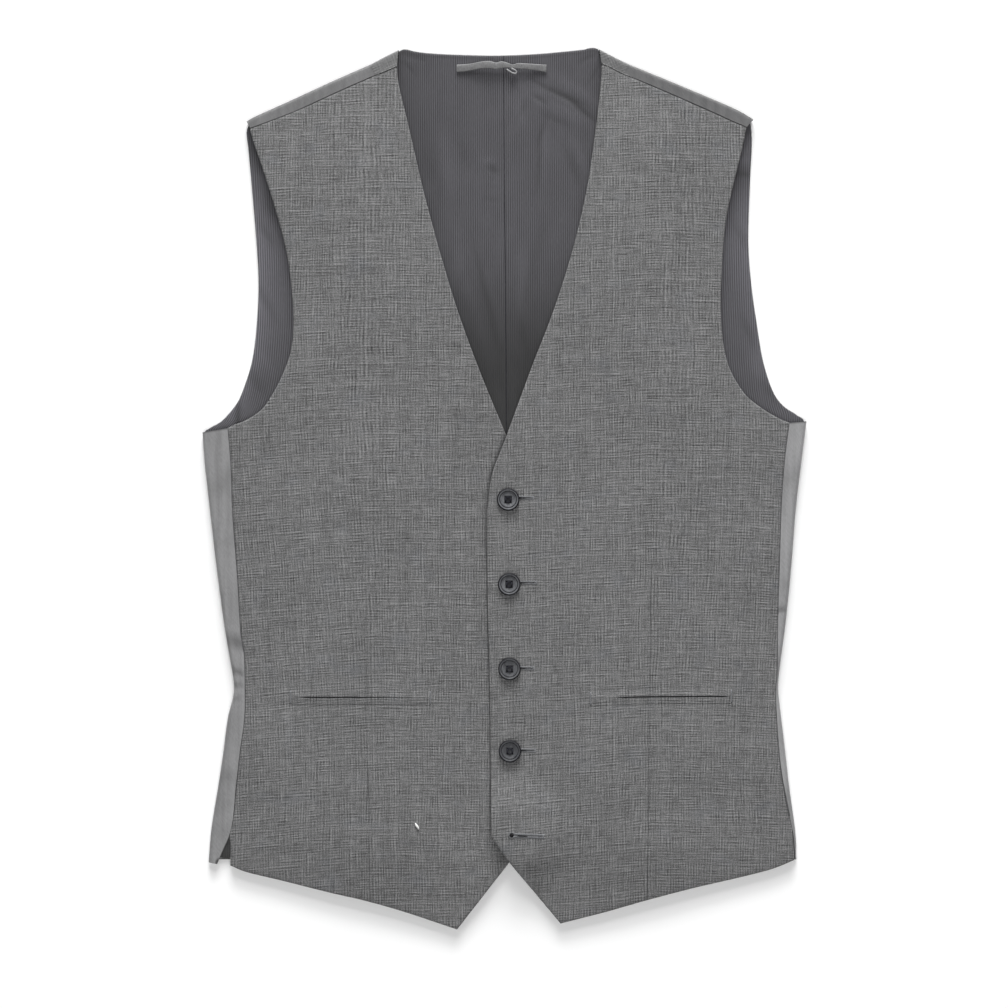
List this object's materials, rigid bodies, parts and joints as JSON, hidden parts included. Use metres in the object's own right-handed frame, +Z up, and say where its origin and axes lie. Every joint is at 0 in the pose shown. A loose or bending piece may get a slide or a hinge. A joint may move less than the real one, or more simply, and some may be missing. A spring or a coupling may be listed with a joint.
{
  "type": "suit waistcoat",
  "caption": "Tailored suit waistcoat laid flat and buttoned: deep V neck, jetted pockets, pointed fronts, satin back wrapped forward at sides and shoulders.",
  "frame": {"origin": "centre of the bounding box's bottom face, on the surface the garment lies on", "axes": "+X across the garment to the right as seen from above, +Y up the garment from the hem points to the neck, +Z up away from the surface"},
  "size_m": [0.4529, 0.6606, 0.0113],
  "materials": {
    "front_wool": "matte worsted wool, grey, with a faint broken check",
    "back_satin": "smooth grey lining satin with a soft sheen",
    "lining_stripe": "dark grey finely ribbed sleeve lining",
    "button_horn": "dark blue-grey imitation horn, half polished"
  },
  "bodies": {
    "root": {"back_left": "back_satin", "back_right": "back_satin", "back_neck_band": "front_wool", "back_lining_left": "lining_stripe", "back_lining_right": "lining_stripe", "front_left_under": "front_wool", "front_right_over": "front_wool", "jet_left_upper": "front_wool", "jet_left_lower": "front_wool", "jet_right_upper": "front_wool", "jet_right_lower": "front_wool", "hanger_loop": "back_satin", "button_1": "button_horn", "button_2": "button_horn", "button_3": "button_horn", "button_4": "button_horn", "button_5": "button_horn"}
  },
  "joints": []
}
